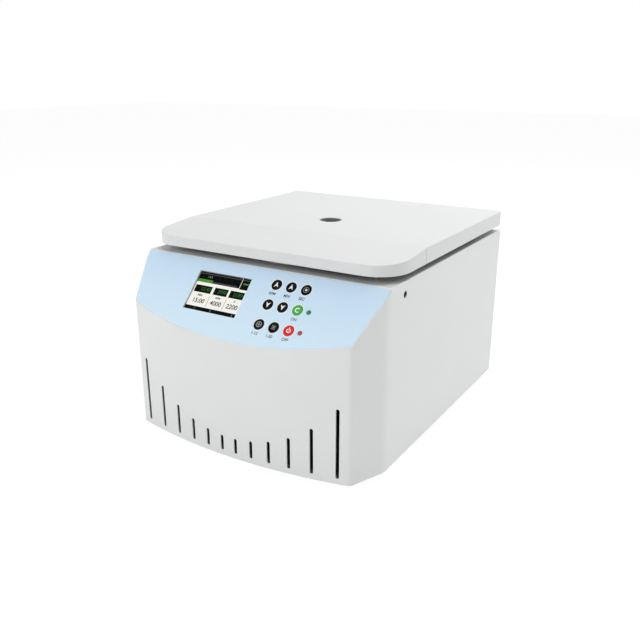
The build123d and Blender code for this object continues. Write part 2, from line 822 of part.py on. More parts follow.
def lid_cover():
    """Folded steel rear part of the lid, open below."""
    seam_y = panel_y + lid_seam + lid_seam_gap
    outline = lid_outline(0, seam_y, lid_back_y, 0, lid_back_corner)
    cover = Pos(0, 0, lid_bottom_z) * extrude(outline, lid_height)
    rims = [edge for edge in cover.edges().group_by(Axis.Z)[-1] if edge.center().Y > seam_y + 1]
    cover = fillet(rims, lid_edge)
    inside = lid_outline(sheet, seam_y + sheet, lid_back_y - sheet, 0, lid_back_corner - sheet)
    cover -= Pos(0, 0, lid_bottom_z - 1) * extrude(inside, lid_height - sheet + 1)
    cover -= liner_space(seam_y - 1, seam_y + 2 * sheet, sheet)
    return cover - on_rotor(sight_radius + fit_gap, lid_bottom_z, lid_top_z + 1)


def lid_front():
    """Moulded front part of the lid: rounded corners and a top that slopes down to the front."""
    seam_y = panel_y + lid_seam
    slope = math.degrees(math.atan2(lid_front_drop, lid_seam))
    above = Pos(0, seam_y, lid_top_z) * Rot(slope, 0, 0)
    reach = 2 * lid_width
    solid = Pos(0, 0, lid_bottom_z) * extrude(lid_outline(0, panel_y, seam_y, lid_corner, 0), lid_height)
    solid -= above * Pos(0, 0, reach / 2) * Box(reach, reach, reach)
    rims = [
        edge
        for edge in solid.edges()
        if edge.center().Z > lid_bottom_z + lid_height / 2 + 1
        and edge.center().Y < seam_y - 1
        and abs(edge.tangent_at(0.5).Z) < 0.9
    ]
    solid = fillet(rims, lid_edge)
    wall = lid_front_wall
    inside = lid_outline(wall, panel_y + wall, seam_y - wall, lid_corner - wall, 0)
    hollow = Pos(0, 0, lid_bottom_z - 1) * extrude(inside, lid_height)
    hollow -= above * Pos(0, 0, reach / 2 - wall) * Box(reach, reach, reach)
    for side in (-1, 1):
        groove = block(
            lid_width / 2 - seam_groove_depth,
            lid_width / 2 + 1,
            seam_y - seam_groove_width,
            seam_y + 1,
            lid_bottom_z - 1,
            lid_top_z + 1,
        )
        solid -= groove if side > 0 else mirror(groove, about=Plane.YZ)
    return solid - hollow - liner_space(seam_y - 2 * wall, seam_y + 1, wall)


def lid_liner():
    """Flat inner plate that closes the lid from below and rests over the gasket."""
    inset = lid_front_wall + fit_gap
    outline = lid_outline(
        inset, panel_y + inset, lid_back_y - inset, lid_corner - inset, lid_back_corner - inset
    )
    liner = Pos(0, 0, liner_z) * extrude(outline, liner_thickness)
    return liner - on_rotor(sight_bore + 1, liner_z - 1, liner_top_z + 1)


def sight_ring():
    """Stepped bezel of the sight hole, from the liner up through the cover."""
    under = lid_top_z - sheet
    ring = on_rotor(sight_radius, liner_top_z, lid_top_z - sight_recess)
    ring += on_rotor(sight_radius + 4, under - 3, under)
    ring -= on_rotor(sight_step, lid_top_z - sight_recess - 2.2, lid_top_z)
    ring -= on_rotor(sight_bore, liner_top_z - 1, lid_top_z)
    return ring - on_rotor(sight_step + fit_gap, liner_top_z - 1, liner_top_z + sight_glass_thickness)


def sight_glass():
    """Clear disc of the sight hole, clamped between bezel and liner."""
    return on_rotor(sight_step, liner_top_z, liner_top_z + sight_glass_thickness)


def lid_tongue():
    """Steel tongue under the lid with the window that the lock's bolt enters."""
    half = tongue_width / 2
    wide, high = tongue_window[0] / 2, tongue_window[1] / 2
    x0, x1 = tongue_x - tongue_thickness / 2, tongue_x + tongue_thickness / 2
    tongue = block(x0, x1, lock_y - half, lock_y + half, lock_z - tongue_below_bolt, liner_z)
    tongue += block(x0 - tongue_tab, x1, lock_y - half, lock_y + half, liner_z - bracket_sheet, liner_z)
    return tongue - block(x0 - 1, x1 + 1, lock_y - wide, lock_y + wide, lock_z - high, lock_z + high)


def hinge_stations():
    """Middle of each hinge, and the x range of its knuckles: middle one, then the outer two."""
    stations = []
    for side in (-1, 1):
        x = side * hinge_x
        inner = knuckle_length / 2
        end = hinge_length / 2
        outer = [(x - end, x - inner - knuckle_gap), (x + inner + knuckle_gap, x + end)]
        stations.append((x, (x - inner, x + inner), outer))
    return stations


def housing_hinge_leaves():
    """The hinge halves on the housing's top, each with the middle knuckle."""
    leaves = []
    web = knuckle_radius + knuckle_gap
    for x, middle, _ in hinge_stations():
        half = hinge_length / 2
        leaf = block(
            x - half, x + half, hinge_y - leaf_reach, hinge_y - web, deck_z, deck_z + leaf_thickness
        )
        leaf += block(*middle, hinge_y - web, hinge_y, deck_z, deck_z + leaf_thickness)
        leaf += rod_x(knuckle_radius, *middle, hinge_y, hinge_z)
        leaves.append(leaf - rod_x(hinge_pin_radius, *middle, hinge_y, hinge_z))
    return joined(leaves)


def lid_hinge_leaves():
    """The hinge halves under the lid, each with the two outer knuckles."""
    leaves = []
    web = knuckle_radius + knuckle_gap
    low = liner_z - leaf_thickness
    for x, _, outer in hinge_stations():
        half = hinge_length / 2
        leaf = block(x - half, x + half, hinge_y - leaf_reach, hinge_y - web, low, liner_z)
        for span in outer:
            leaf += block(*span, hinge_y - web, hinge_y, low, liner_z)
            leaf += rod_x(knuckle_radius, *span, hinge_y, hinge_z)
        for span in outer:
            leaf -= rod_x(hinge_pin_radius + pin_clearance, span[0] - 0.1, span[1] + 0.1, hinge_y, hinge_z)
        leaves.append(leaf)
    return joined(leaves)


def hinge_pins():
    """Steel pins through the lid's two hinges."""
    half = hinge_length / 2
    places = [x for x, _, _ in hinge_stations()]
    return joined([rod_x(hinge_pin_radius, x - half, x + half, hinge_y, hinge_z) for x in places])


def lock_bracket():
    """Folded bracket under the housing's top that carries the solenoid and guides the bolt."""
    side = solenoid_side / 2
    floor_z = lock_z - side
    back = lock_y + side + 1
    front = lock_y - side
    near = solenoid_end_x - solenoid_length
    far_guide = tongue_x + tongue_thickness / 2 + 2
    end = far_guide + bracket_sheet
    bracket = block(near, end, front, back, floor_z - bracket_sheet, floor_z)
    bracket += block(near, end, back, back + bracket_sheet, floor_z - bracket_sheet, deck_z - sheet)
    near_guide = bolt_nose_x - 2 * bracket_sheet
    for x in (near_guide, far_guide):
        bracket += block(x, x + bracket_sheet, lock_y - 8, back, floor_z, lock_z + 7)
    return bracket - rod_x(bolt_radius + pin_clearance, near_guide - 1, end + 1, lock_y, lock_z)


def lock_solenoid():
    """Solenoid that throws the bolt: a steel frame round its coil, bored for the plunger."""
    near = solenoid_end_x - solenoid_length
    half = solenoid_side / 2
    frame = block(near, solenoid_end_x, lock_y - half, lock_y + half, lock_z - half, lock_z + half)
    frame -= block(
        near + 3,
        solenoid_end_x - 3,
        lock_y - half - 1,
        lock_y + half + 1,
        lock_z - half + 2,
        lock_z + half - 2,
    )
    coil = rod_x(half - 3, near + 2, solenoid_end_x - 2, lock_y, lock_z)
    return frame + coil - rod_x(plunger_radius + fit_gap, near - 1, solenoid_end_x + 1, lock_y, lock_z)


def lock_bolt():
    """Sliding bolt: nose, collar and the plunger that runs in the solenoid."""
    collar_x = solenoid_end_x + 2
    bolt = rod_x(bolt_radius, collar_x, bolt_nose_x, lock_y, lock_z)
    bolt = chamfer(bolt.edges().sort_by(Axis.X)[-1], 0.8)
    bolt += rod_x(collar_radius, collar_x, collar_x + 3, lock_y, lock_z)
    return bolt + rod_x(plunger_radius, solenoid_end_x - solenoid_length + 4, collar_x, lock_y, lock_z)


def mains_inlet():
    """Appliance inlet with its flange behind the rear panel and an open socket."""
    wide, high, deep = inlet_body
    flange_w, flange_h = inlet_flange
    x, z = inlet_x, socket_z
    outer = back_y + flange_proud
    body = block(x - wide / 2, x + wide / 2, back_y - deep, back_y, z - high / 2, z + high / 2)
    flange = block(x - flange_w / 2, x + flange_w / 2, back_y, outer, z - flange_h / 2, z + flange_h / 2)
    flange = fillet(flange.edges().filter_by(Axis.Y), 4.0)
    w, h = wide / 2 - inlet_wall, high / 2 - inlet_wall
    socket = block(x - w, x + w, outer - inlet_cavity_depth, outer + 1, z - h, z + h)
    socket = chamfer(socket.edges().filter_by(Axis.Y).group_by(Axis.Z)[-1], 4.0)
    inlet = body + flange - socket
    for screw_x in inlet_screw_x():
        inlet -= rod_y(screw_shank_radius, back_y - 1, outer + 1, screw_x, z)
    return inlet


def inlet_pins():
    """Three flat pins in the inlet's socket."""
    wide, high, long = pin_blade
    floor = back_y + flange_proud - inlet_cavity_depth
    pins = []
    for dx, dz in ((-7.0, -2.0), (0.0, 2.0), (7.0, -2.0)):
        x, z = inlet_x + dx, socket_z + dz
        pins.append(block(x - wide / 2, x + wide / 2, floor, floor + long, z - high / 2, z + high / 2))
    return joined(pins)


def switch_housing():
    """Mains switch body with its flange and the pocket that the rocker sits in."""
    wide, high, deep = switch_body
    pocket_w, pocket_h, pocket_deep = switch_pocket
    flange_w, flange_h = switch_flange
    x, z = switch_x, socket_z
    outer = back_y + flange_proud
    body = block(x - wide / 2, x + wide / 2, back_y - deep, back_y, z - high / 2, z + high / 2)
    body += block(x - flange_w / 2, x + flange_w / 2, back_y, outer, z - flange_h / 2, z + flange_h / 2)
    body -= block(
        x - pocket_w / 2, x + pocket_w / 2, outer - pocket_deep, outer + 1, z - pocket_h / 2, z + pocket_h / 2
    )
    pivot_y = back_y - rocker_pivot_depth
    bore = rocker_pin_radius + pin_clearance
    return body - rod_x(bore, x - pocket_w / 2 - 1.5, x + pocket_w / 2 + 1.5, pivot_y, z)


def power_rocker():
    """Rocker of the mains switch, tilted to off."""
    wide, deep, high = rocker_size
    pocket_w = switch_pocket[0]
    rocker = Box(wide, deep, high)
    rocker = fillet(rocker.edges().filter_by(Axis.X), 1.0)
    dish = Pos(0, 40 + deep / 2 - 1.0, 0) * Rot(0, 90, 0) * Cylinder(40, wide + 2)
    rocker -= dish
    rocker += Rot(0, 90, 0) * Cylinder(rocker_pin_radius, pocket_w + 2.4)
    return Pos(switch_x, back_y - rocker_pivot_depth, socket_z) * Rot(rocker_tilt, 0, 0) * rocker


def fuse_holder():
    """Screw-cap fuse holder."""
    body = rod_y(fuse_radius, back_y - 25, back_y, fuse_x, socket_z)
    body += rod_y(fuse_radius + 2, back_y, back_y + 1.4, fuse_x, socket_z)
    body += rod_y(fuse_radius - 1, back_y + 1.4, back_y + rear_reach, fuse_x, socket_z)
    slot = block(fuse_x - 4, fuse_x + 4, back_y + 2, back_y + 5, socket_z - 0.6, socket_z + 0.6)
    return body - slot


def drive_board():
    """Motor drive board on four posts, with its capacitors and a row of terminals."""
    x0, y0 = drive_inset - inner_half_x, rotor_y - drive_ahead
    x1, y1 = x0 + drive_size[0], y0 + drive_size[1]
    low = base_top_z + drive_rise
    high = low + board_thickness
    solids = [block(x0, x1, y0, y1, low, high)]
    for x in (x0 + drive_post_inset, x1 - drive_post_inset):
        for y in (y0 + drive_post_inset, y1 - drive_post_inset):
            solids.append(post(drive_post_radius, base_top_z, low, x, y))
    for step in range(3):
        y = y0 + 1.5 * capacitor_pitch + capacitor_pitch * step
        solids.append(post(capacitor_radius, high, high + capacitor_height, x0 + 1.5 * capacitor_radius, y))
    wide, long, tall = terminal_size
    for step in range(6):
        x = x0 + 1.5 * terminal_pitch + terminal_pitch * step
        solids.append(block(x - wide / 2, x + wide / 2, y1 - 1.3 * long, y1 - 0.3 * long, high, high + tall))
    return joined(solids)


def heat_sink():
    """Finned aluminium block that cools the drive board's power stage."""
    wide, long, tall = sink_size
    x0, y0 = drive_inset - inner_half_x + drive_size[0] / 2, rotor_y - long / 2
    low = base_top_z + drive_rise + board_thickness
    sink = block(x0, x0 + wide, y0, y0 + long, low, low + sink_base)
    for step in range(sink_fins):
        x = x0 + step * (wide - sink_fin) / (sink_fins - 1)
        sink += block(x, x + sink_fin, y0, y0 + long, low, low + tall)
    return sink


def transformer():
    """Transformer of the control supply: laminated core with a wound bobbin, on its feet."""
    place = Pos(inlet_x, rotor_y + transformer_back, base_top_z)
    middle = place * Pos(0, 0, transformer_core[2] / 2)
    core = middle * Box(*transformer_core)
    bobbin = middle * Box(*transformer_bobbin)
    bobbin = fillet(bobbin.edges().filter_by(Axis.Z), transformer_round)
    feet = place * Pos(0, 0, transformer_feet[2] / 2) * Box(*transformer_feet)
    return core + bobbin + feet


def all_nodes():
    """Every node's name and shape."""
    nodes = {
        "housing_shell": housing_shell(),
        "rear_panel": rear_panel(),
        "housing_screws": housing_screws(),
        "base_plate": base_plate(),
        "rubber_feet": rubber_feet(),
        "panel_overlay": panel_overlay(),
        "display_glass": display_glass(),
        "display_module": display_module(),
        "control_board": control_board(),
        "board_spacers": board_spacers(),
        "chamber_bowl": chamber_bowl(),
        "guard_ring": guard_ring(),
        "chamber_gasket": chamber_gasket(),
        "shaft_boot": shaft_boot(),
        "motor_housing": motor_housing(),
        "motor_cap": motor_cap(),
        "motor_stator": motor_stator(),
        "motor_bearings": motor_bearings(),
        "motor_plate": motor_plate(),
        "vibration_dampers": vibration_dampers(),
        "motor_shaft": motor_shaft(),
        "motor_armature": motor_armature(),
        "rotor_head": rotor_head(),
        "rotor_nut": rotor_nut(),
        "lid_cover": lid_cover(),
        "lid_front": lid_front(),
        "lid_liner": lid_liner(),
        "lid_tongue": lid_tongue(),
        "lid_hinge_leaves": lid_hinge_leaves(),
        "sight_ring": sight_ring(),
        "sight_glass": sight_glass(),
        "housing_hinge_leaves": housing_hinge_leaves(),
        "hinge_pins": hinge_pins(),
        "lock_bracket": lock_bracket(),
        "lock_solenoid": lock_solenoid(),
        "lock_bolt": lock_bolt(),
        "mains_inlet": mains_inlet(),
        "inlet_pins": inlet_pins(),
        "switch_housing": switch_housing(),
        "power_rocker": power_rocker(),
        "fuse_holder": fuse_holder(),
        "drive_board": drive_board(),
        "heat_sink": heat_sink(),
        "transformer": transformer(),
    }
    for step in range(bucket_count):
        nodes[f"bucket_{step + 1}"] = bucket(step)
    for name, x, down in key_places():
        nodes[name] = on_panel(x, down, key_cap())
    for name, x, down in light_places():
        nodes[name] = on_panel(x, down, light_lens())
    return nodes


def main():
    """Writes every node to parts/."""
    os.makedirs("parts", exist_ok=True)
    for name, shape in all_nodes().items():
        export_step(shape, f"parts/{name}.step")


if __name__ == "__main__":
    main()
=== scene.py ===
# %% [markdown]
# # A bench centrifuge, dressed in Blender
# The shape of this centrifuge comes from its CAD model: a folded steel housing, a hinged lid, a bowl with a
# swing-out rotor, and all that stands under them. Blender adds what CAD can't carry, which is paint, rubber,
# glass, print and light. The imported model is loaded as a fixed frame, so that every new piece is placed from
# measures read out of it and nothing has to be fitted by eye.

# %% Load the frame
import json
import math

import bmesh
import bpy
import numpy as np
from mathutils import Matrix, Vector


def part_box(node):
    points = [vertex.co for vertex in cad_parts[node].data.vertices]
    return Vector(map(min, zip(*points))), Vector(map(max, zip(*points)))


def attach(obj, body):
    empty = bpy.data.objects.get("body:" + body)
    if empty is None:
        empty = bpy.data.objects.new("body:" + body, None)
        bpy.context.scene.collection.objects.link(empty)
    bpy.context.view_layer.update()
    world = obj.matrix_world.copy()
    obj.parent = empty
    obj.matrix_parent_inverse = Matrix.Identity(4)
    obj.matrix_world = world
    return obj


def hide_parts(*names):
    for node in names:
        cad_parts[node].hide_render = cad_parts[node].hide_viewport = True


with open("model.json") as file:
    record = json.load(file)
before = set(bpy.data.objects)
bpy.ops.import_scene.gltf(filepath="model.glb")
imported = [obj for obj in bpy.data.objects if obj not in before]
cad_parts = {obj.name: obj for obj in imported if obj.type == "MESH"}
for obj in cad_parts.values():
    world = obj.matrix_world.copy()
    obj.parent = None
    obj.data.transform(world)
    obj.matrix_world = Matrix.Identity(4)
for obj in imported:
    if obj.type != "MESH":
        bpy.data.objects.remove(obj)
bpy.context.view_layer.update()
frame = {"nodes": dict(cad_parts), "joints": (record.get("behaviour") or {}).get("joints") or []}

# %% [markdown]
# ## The camera
# A photograph fixes its camera: parallel edges of the housing run to three vanishing points, and these give
# the place, the direction and the lens. The camera is set from those numbers, so that the render lies over
# the photograph edge for edge. It stands level, which is a roll of zero.

# %% Camera
LENS_MM = 40.6
SENSOR_MM = 36.0
EYE = Vector((0.5243, -0.85865, 0.4733))
SIGHT = Vector((-0.49541, 0.80482, -0.32686))

camera = bpy.data.objects.new("camera", bpy.data.cameras.new("camera"))
camera.data.lens = LENS_MM
camera.data.sensor_width = SENSOR_MM
camera.location = EYE
camera.rotation_euler = SIGHT.to_track_quat("-Z", "Y").to_euler()
bpy.context.scene.collection.objects.link(camera)
bpy.context.scene.camera = camera
bpy.context.scene.view_settings.view_transform = "Standard"
print("camera stands", round(EYE.length, 3), "m from the middle of the foot")

# %% [markdown]
# ## Colours and nodes
# Paint charts and pictures give colours as sRGB hex codes, while a shader reckons in linear light, so one
# function turns the first into the second. A second small function adds a shader node with its settings
# and links in one line, which keeps the finishes below short enough to read.

# %% Colour and node helpers
MM = 0.001


def linear(code):
    """Red, green, blue and alpha in linear light from a hex code: a power of 2.4 with a straight toe."""
    srgb = np.array([int(code[i : i + 2], 16) for i in (0, 2, 4)]) / 255
    rgb = np.where(srgb <= 0.04045, srgb / 12.92, ((srgb + 0.055) / 1.055) ** 2.4)
    return (*rgb.tolist(), 1.0)


def add(tree, kind, settings=None, inputs=None):
    """Adds a shader node; an input is given a value, or the socket that feeds it."""
    node = tree.nodes.new("ShaderNode" + kind)
    for name, value in (settings or {}).items():
        setattr(node, name, value)
    for name, value in (inputs or {}).items():
        if isinstance(value, bpy.types.NodeSocket):
            tree.links.new(value, node.inputs[name])
        else:
            node.inputs[name].default_value = value
    return node


print("lid white in linear light", [round(v, 3) for v in linear("E6E7E6")[:3]])

# %% [markdown]
# ## Floor and studio light
# The object stands on a plain white sweep under soft light. To the camera, and in mirror or glass, the floor
# and the world are plain white; for all other light the floor is a pale board, so the white it shows does
# not flood the object. A share of the floor stays lit paint, which keeps the soft shadow round the feet. The
# world is brightest at the horizon and dim overhead, where a soft box does the work instead.

# %% World
DOME_RISE = (0.05, 0.75)
DOME_LIGHT = (0.98, 0.22)

world = bpy.data.worlds.new("studio")
bpy.context.scene.world = world
world.use_nodes = True
sky = world.node_tree
sky.nodes.clear()
seen = add(sky, "LightPath")
aim = add(sky, "TexCoord").outputs["Generated"]
height = add(sky, "SeparateXYZ", inputs={"Vector": aim}).outputs["Z"]
rise = {"From Min": DOME_RISE[0], "From Max": DOME_RISE[1]}
light = {"To Min": DOME_LIGHT[0], "To Max": DOME_LIGHT[1]}
dome = add(sky, "MapRange", inputs={"Value": height, **rise, **light})
shown = add(
    sky,
    "Math",
    {"operation": "MAXIMUM"},
    {0: seen.outputs["Is Camera Ray"], 1: seen.outputs["Is Transmission Ray"]},
)
strength = add(
    sky, "Mix", {"data_type": "FLOAT"}, {"Factor": shown.outputs[0], "A": dome.outputs[0], "B": 1.0}
)
white = add(sky, "Background", inputs={"Color": linear("FFFFFF"), "Strength": strength.outputs[0]})
add(sky, "OutputWorld", inputs={"Surface": white.outputs[0]})
print("world lights with", DOME_LIGHT[0], "at the horizon and", DOME_LIGHT[1], "overhead")

# %% Floor
FLOOR_HALF = 8.0
SHADOW_SHARE = 0.15
FLOOR_GLOW = 1.1

corner = np.array([(-1, -1), (1, -1), (1, 1), (-1, 1)]) * FLOOR_HALF
floor_mesh = bpy.data.meshes.new("floor")
floor_mesh.from_pydata([(x, y, 0.0) for x, y in corner.tolist()], [], [(0, 1, 2, 3)])
floor = bpy.data.objects.new("floor", floor_mesh)
bpy.context.scene.collection.objects.link(floor)

sweep = bpy.data.materials.new("white paper sweep")
sweep.use_nodes = True
tree = sweep.node_tree
tree.nodes.clear()
ray = add(tree, "LightPath")
paper = add(tree, "BsdfDiffuse", inputs={"Color": linear("E4E4E4")})
glow = add(tree, "Emission", inputs={"Color": linear("FFFFFF"), "Strength": FLOOR_GLOW})
mirrored = add(
    tree,
    "Math",
    {"operation": "MAXIMUM"},
    {0: ray.outputs["Is Glossy Ray"], 1: ray.outputs["Is Transmission Ray"]},
)
watched = add(
    tree, "Math", {"operation": "MAXIMUM"}, {0: ray.outputs["Is Camera Ray"], 1: mirrored.outputs[0]}
)
direct = add(tree, "Math", {"operation": "MULTIPLY"}, {0: watched.outputs[0], 1: 1 - SHADOW_SHARE})
mixed = add(
    tree, "MixShader", inputs={"Fac": direct.outputs[0], 1: paper.outputs[0], 2: glow.outputs[0]}
)
add(tree, "OutputMaterial", inputs={"Surface": mixed.outputs[0]})
floor_mesh.materials.append(sweep)
print("floor", 2 * FLOOR_HALF, "m square, of which a share of", SHADOW_SHARE, "takes shadow")

# %% Soft boxes
SOFT_BOXES = (
    ("box_over", (0.4, 0.85, 2.0), 2.2, 40.0),
    ("box_front", (-1.2, -2.4, 1.2), 2.0, 28.5),
    ("box_right", (2.4, -0.2, 1.0), 1.8, 3.0),
)
AIM = Vector((0, 0, 0.15))

for name, place, side, watts in SOFT_BOXES:
    lamp = bpy.data.lights.new(name, "AREA")
    lamp.shape = "SQUARE"
    lamp.size = side
    lamp.energy = watts
    box = bpy.data.objects.new(name, lamp)
    box.location = place
    box.rotation_euler = (AIM - Vector(place)).to_track_quat("-Z", "Y").to_euler()
    bpy.context.scene.collection.objects.link(box)
print("soft boxes", len(SOFT_BOXES))

# %% [markdown]
# ## Finishes
# Nearly every made surface shows the same three things close up: a tone that wanders a little from patch to
# patch, a gloss that wanders with it, and a fine relief. One function builds a finish from those: two near
# colours mixed by a broad noise, a roughness between two values, and a fine noise as height. All sizes are
# real millimetres; a relief too fine for the picture is drawn a little coarser, and its line says so.


# %% The finish builder
def finish(name, colours, patch_mm, roughness, grain_mm, height_mm, **sockets):
    """A finish whose tone and gloss follow a broad noise and whose height follows a fine one."""
    material = bpy.data.materials.new(name)
    material.use_nodes = True
    tree = material.node_tree
    shader = tree.nodes["Principled BSDF"]
    for socket, value in sockets.items():
        shader.inputs[socket.replace("_", " ")].default_value = value
    where = add(tree, "TexCoord").outputs["Object"]
    patch = add(tree, "TexNoise", inputs={"Vector": where, "Scale": 1 / (patch_mm * MM), "Detail": 3.0})
    tone = add(
        tree,
        "Mix",
        {"data_type": "RGBA"},
        {"Factor": patch.outputs["Fac"], 6: linear(colours[0]), 7: linear(colours[1])},
    )
    gloss = add(
        tree,
        "MapRange",
        inputs={"Value": patch.outputs["Fac"], "To Min": roughness[0], "To Max": roughness[1]},
    )
    grain = add(tree, "TexNoise", inputs={"Vector": where, "Scale": 1 / (grain_mm * MM), "Detail": 1.0})
    relief = add(tree, "Bump", inputs={"Height": grain.outputs["Fac"], "Distance": height_mm * MM})
    tree.links.new(tone.outputs[2], shader.inputs["Base Color"])
    tree.links.new(gloss.outputs[0], shader.inputs["Roughness"])
    tree.links.new(relief.outputs[0], shader.inputs["Normal"])
    return material


# %% [markdown]
# Paint and plastics come first. The white powder coat and the white moulded plastic beside it are near each
# other in tone, so what tells them apart is mostly their gloss and the size of their grain.

# %% Paint and plastics
finishes = {
    # Powder coat baked on steel: satin white with orange peel, drawn at 3 mm where the real one is 1 mm.
    "housing_enamel": finish("powder coated steel", ("E2E3E3", "E7E8E8"), 90, (0.34, 0.42), 3.0, 0.008),
    # The lid's steel cover gets a coat a shade greyer than the housing's.
    "lid_enamel": finish("powder coated lid steel", ("DCDDDD", "E0E1E1"), 90, (0.36, 0.44), 3.0, 0.008),
    # Moulded ABS: a touch duller and warmer than the paint beside it, with a spark-eroded mould grain.
    "lid_plastic": finish("moulded white ABS", ("DBDCDC", "DFE0DF"), 60, (0.4, 0.48), 1.6, 0.006),
    # The same plastic for the lid's inner cover, drawn dark grey as painted shade, so the gap under the lid
    # looks deep.
    "liner_plastic": finish("moulded dark grey ABS", ("1C1D1E", "26272A"), 30, (0.5, 0.62), 1.2, 0.008),
    # Gloss ABS keys: deep colour under a clear sharp highlight, which the crown of the key keeps small.
    "black_key": finish(
        "gloss moulded black ABS", ("060708", "0B0C0E"), 4, (0.2, 0.26), 0.8, 0.002, Specular_IOR_Level=0.3
    ),
    "green_key": finish("gloss moulded green ABS", ("43AA42", "4DB54C"), 4, (0.22, 0.28), 0.8, 0.002),
    "red_key": finish("gloss moulded red ABS", ("DE2326", "E62C2E"), 4, (0.22, 0.28), 0.8, 0.002),
    # Satin black ABS with mould grain: sockets, switch and fuse holder.
    "black_plastic": finish("moulded black ABS", ("151617", "1E1F21"), 8, (0.42, 0.55), 0.7, 0.01),
    # Mid-grey moulded bezel of the sight hole.
    "bezel_plastic": finish("moulded grey ABS", ("6B6E70", "777A7C"), 8, (0.36, 0.46), 0.7, 0.008),
    # Moulded rubber: matt, dusted grey in patches.
    "black_rubber": finish("moulded nitrile rubber", ("17181A", "26272A"), 12, (0.68, 0.86), 0.6, 0.02),
}
print("paint, plastics and rubber", len(finishes))

# %% [markdown]
# Metals differ in what was done to their skin: plated, rolled, ground, cast or anodised. The shader's own
# metal share does most of it, and the roughness and the grain say which work was done.

# %% Metals
finishes |= {
    # Bright zinc on folded steel: bluish, with the faint cloud of a plating bath.
    "zinc_steel": finish(
        "zinc plated steel", ("A9AEB3", "C3C7CB"), 6, (0.28, 0.42), 0.5, 0.004, Metallic=1.0
    ),
    # Hot-rolled guard steel under a thin grey primer.
    "guard_steel": finish(
        "primed rolled steel", ("6A6D70", "787B7E"), 14, (0.5, 0.65), 0.9, 0.02, Metallic=0.2
    ),
    "ground_steel": finish("ground steel", ("B9BABB", "CBCCCD"), 3, (0.2, 0.3), 0.3, 0.003, Metallic=1.0),
    # Die-cast aluminium: dull silver skin with a sandy grain.
    "motor_aluminium": finish(
        "die cast aluminium", ("9FA2A5", "B4B6B9"), 7, (0.45, 0.6), 0.9, 0.03, Metallic=0.9
    ),
    # Hard-anodised aluminium: satin pale grey, nearly without highlights.
    "rotor_aluminium": finish(
        "anodised aluminium", ("A2A7AC", "B3B7BB"), 10, (0.36, 0.46), 0.4, 0.004, Metallic=0.85
    ),
    "brass": finish("drawn brass", ("B8975A", "CBAA68"), 2, (0.25, 0.4), 0.3, 0.004, Metallic=1.0),
    # Varnished iron laminations and the enamelled copper wound on them.
    "stator_iron": finish(
        "varnished iron and copper", ("5A3626", "7C4A2C"), 3, (0.4, 0.6), 0.6, 0.03, Metallic=0.5
    ),
    "display_frame": finish(
        "pressed tin plate", ("8E9194", "A1A4A7"), 5, (0.35, 0.5), 0.5, 0.006, Metallic=0.9
    ),
}
print("finishes so far", len(finishes))

# %% [markdown]
# The blue area is a printed polyester film. Its ink is a pale blue, drawn slightly deeper to the top as
# painted shade under the lid, so the two blues are mixed by height instead of by noise, over a very fine matt
# grain.

# %% Printed film
film = finish("printed polyester film", ("C7DFF3", "CBE3F5"), 40, (0.36, 0.44), 0.8, 0.003)
tree = film.node_tree
shader = tree.nodes["Principled BSDF"]
film_low, film_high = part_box("panel_overlay")
spot = add(tree, "SeparateXYZ", inputs={"Vector": add(tree, "TexCoord").outputs["Object"]})
rise = add(
    tree, "MapRange", inputs={"Value": spot.outputs["Z"], "From Min": film_low.z, "From Max": film_high.z}
)
# the blue runs darker towards the top: painted shade under the lid's edge
ink = add(
    tree,
    "Mix",
    {"data_type": "RGBA"},
    {"Factor": rise.outputs[0], 6: linear("D6EDFC"), 7: linear("CAE3F8")},
)
tree.links.new(ink.outputs[2], shader.inputs["Base Color"])
finishes["blue_film"] = film
print("film from", round(film_low.z / MM, 1), "to", round(film_high.z / MM, 1), "mm above the table")

# %% [markdown]
# The bowl is spun: a disc of stainless steel is pressed over a turning form, and the tool leaves fine rings
# about the axis. The finish works out each point's distance from the rotor's axis and draws the rings as a
# noise of that distance and the height.

# %% Spun stainless steel
bowl_low, bowl_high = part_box("chamber_bowl")
axis_y = (bowl_low.y + bowl_high.y) / 2
RING_MM = 1.2  # real tool marks are near 0.3 mm; drawn wider so that they show

spun = finish("spun stainless steel", ("B4B6B8", "C8CACC"), 25, (0.22, 0.34), 0.6, 0.002, Metallic=1.0)
tree = spun.node_tree
shader = tree.nodes["Principled BSDF"]
where = add(tree, "TexCoord").outputs["Object"]
centred = add(tree, "Mapping", inputs={"Vector": where, "Location": (0, -axis_y, 0)})
split = add(tree, "SeparateXYZ", inputs={"Vector": centred.outputs[0]})
flat = add(tree, "CombineXYZ", inputs={"X": split.outputs["X"], "Y": split.outputs["Y"]})
reach = add(tree, "VectorMath", {"operation": "LENGTH"}, {0: flat.outputs[0]})
ring = add(tree, "CombineXYZ", inputs={"X": reach.outputs["Value"], "Z": split.outputs["Z"]})
marks = add(
    tree, "TexNoise", inputs={"Vector": ring.outputs[0], "Scale": 1 / (RING_MM * MM), "Detail": 2.0}
)
relief = add(tree, "Bump", inputs={"Height": marks.outputs["Fac"], "Distance": 0.01 * MM})
tree.links.new(relief.outputs[0], shader.inputs["Normal"])
finishes["stainless"] = spun
print("rings about the axis at y", round(axis_y / MM, 2), "mm")

# %% [markdown]
# Circuit board is glass cloth in green resin with copper tracks under it. Square Voronoi cells stretched
# into a grid read as tracks and pads at this distance, and their edges mix in a paler green.

